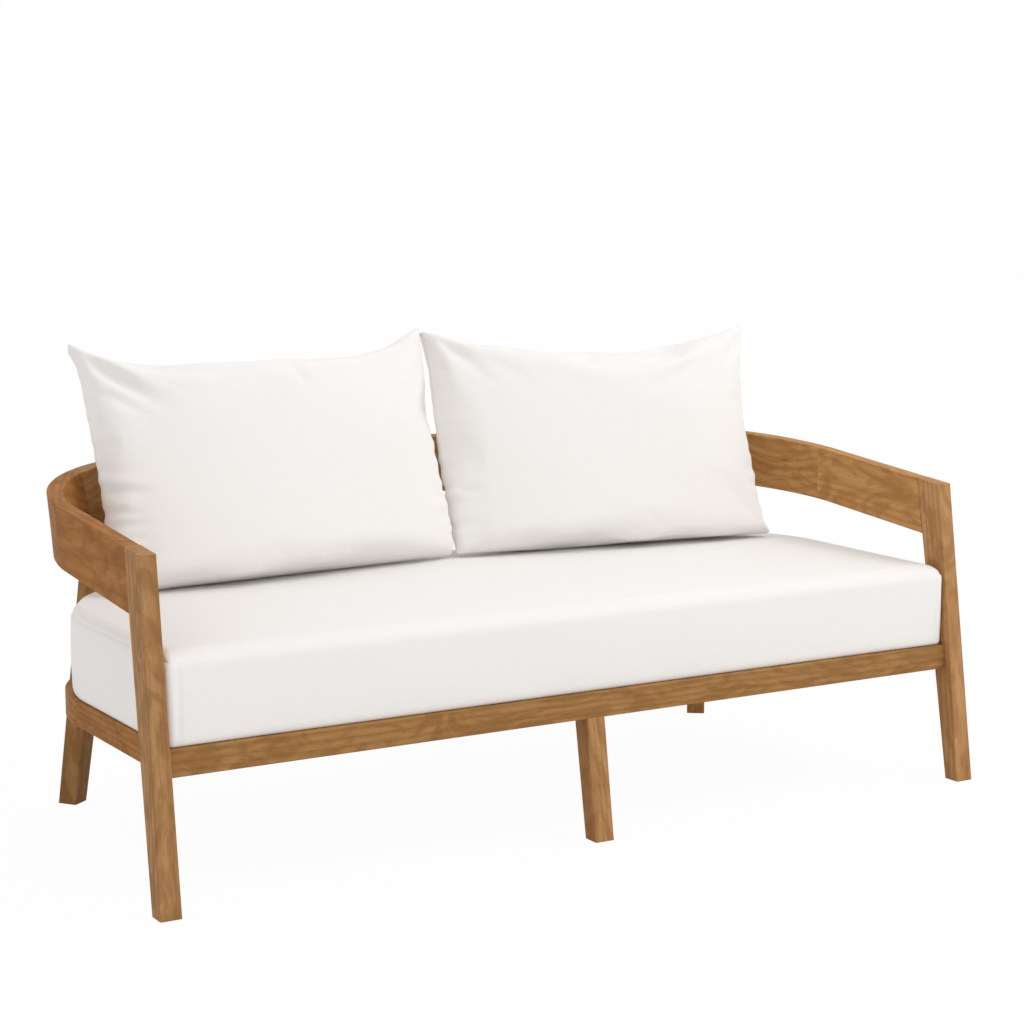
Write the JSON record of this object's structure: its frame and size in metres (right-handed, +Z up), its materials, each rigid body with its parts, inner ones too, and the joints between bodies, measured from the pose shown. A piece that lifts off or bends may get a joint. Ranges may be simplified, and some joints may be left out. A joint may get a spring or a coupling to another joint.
{
  "type": "patio loveseat",
  "caption": "Teak outdoor loveseat: raked tapered legs, a curved band for arms and back, a boxed seat cushion and loose back cushions.",
  "frame": {"origin": "on the floor, under the middle of the whole piece in width and depth", "axes": "+Z up, the seat faces -Y, +X to the right of someone who stands in front of it"},
  "size_m": [1.7, 0.8143, 0.8558],
  "materials": {
    "teak": "satin oil",
    "inner_timber": "planed, unfinished",
    "dowel_beech": "fluted, glued",
    "cushion_fabric": "plain weave, matt",
    "foam": "open cell foam",
    "fibre": "loose polyester fibre",
    "zip_tape": "woven tape with coil teeth",
    "zip_slider": "enamelled die casting",
    "stainless_steel": "plain",
    "insert_brass": "turned",
    "glide_nylon": "moulded"
  },
  "bodies": {
    "frame": {"back_band": "teak", "band_dowels": "dowel_beech", "centre_stretcher": "inner_timber", "cleat_screws": "stainless_steel", "foot_glides": "glide_nylon", "front_rail": "teak", "left_arm": "teak", "left_back_leg": "teak", "left_corner_block": "inner_timber", "left_corner_cleat": "inner_timber", "left_corner_front": "teak", "left_corner_rear": "teak", "left_front_cleat": "inner_timber", "left_front_leg": "teak", "left_rail_corner": "teak", "left_rear_cleat": "inner_timber", "left_side_rail": "teak", "leg_bolts": "stainless_steel", "leg_inserts": "insert_brass", "middle_front_leg": "teak", "rail_dowels": "dowel_beech", "rear_rail": "teak", "right_arm": "teak", "right_back_leg": "teak", "right_corner_block": "inner_timber", "right_corner_cleat": "inner_timber", "right_corner_front": "teak", "right_corner_rear": "teak", "right_front_cleat": "inner_timber", "right_front_leg": "teak", "right_rail_corner": "teak", "right_rear_cleat": "inner_timber", "right_side_rail": "teak", "seat_slat_01": "inner_timber", "seat_slat_02": "inner_timber", "seat_slat_03": "inner_timber", "seat_slat_04": "inner_timber", "seat_slat_05": "inner_timber", "seat_slat_06": "inner_timber", "seat_slat_07": "inner_timber", "seat_slat_08": "inner_timber", "seat_slat_09": "inner_timber", "seat_slat_10": "inner_timber", "seat_slat_11": "inner_timber", "seat_slat_12": "inner_timber", "seat_slat_13": "inner_timber", "slat_screws": "stainless_steel"},
    "seat_cushion": {"seat_cushion_core": "foam", "seat_cushion_cover": "cushion_fabric", "seat_cushion_zip": "zip_tape"},
    "left_back_cushion": {"left_back_cushion_cover": "cushion_fabric", "left_back_cushion_filling": "fibre", "left_back_cushion_zip": "zip_tape"},
    "right_back_cushion": {"right_back_cushion_cover": "cushion_fabric", "right_back_cushion_filling": "fibre", "right_back_cushion_zip": "zip_tape"},
    "seat_zip_slider": {"seat_zip_slider": "zip_slider"}
  },
  "joints": [
    {"name": "seat_cushion_pull_out", "type": "slide", "parent": "frame", "child": "seat_cushion", "axis": [0, -1, 0], "range_m": [0, 0.3]},
    {"name": "left_back_cushion_lift", "type": "slide", "parent": "seat_cushion", "child": "left_back_cushion", "axis": [0, 0, 1], "range_m": [0, 0.3]},
    {"name": "right_back_cushion_lift", "type": "slide", "parent": "seat_cushion", "child": "right_back_cushion", "axis": [0, 0, 1], "range_m": [0, 0.3]},
    {"name": "seat_zip_run", "type": "slide", "parent": "seat_cushion", "child": "seat_zip_slider", "axis": [1, 0, 0], "range_m": [0, 0.88]}
  ]
}
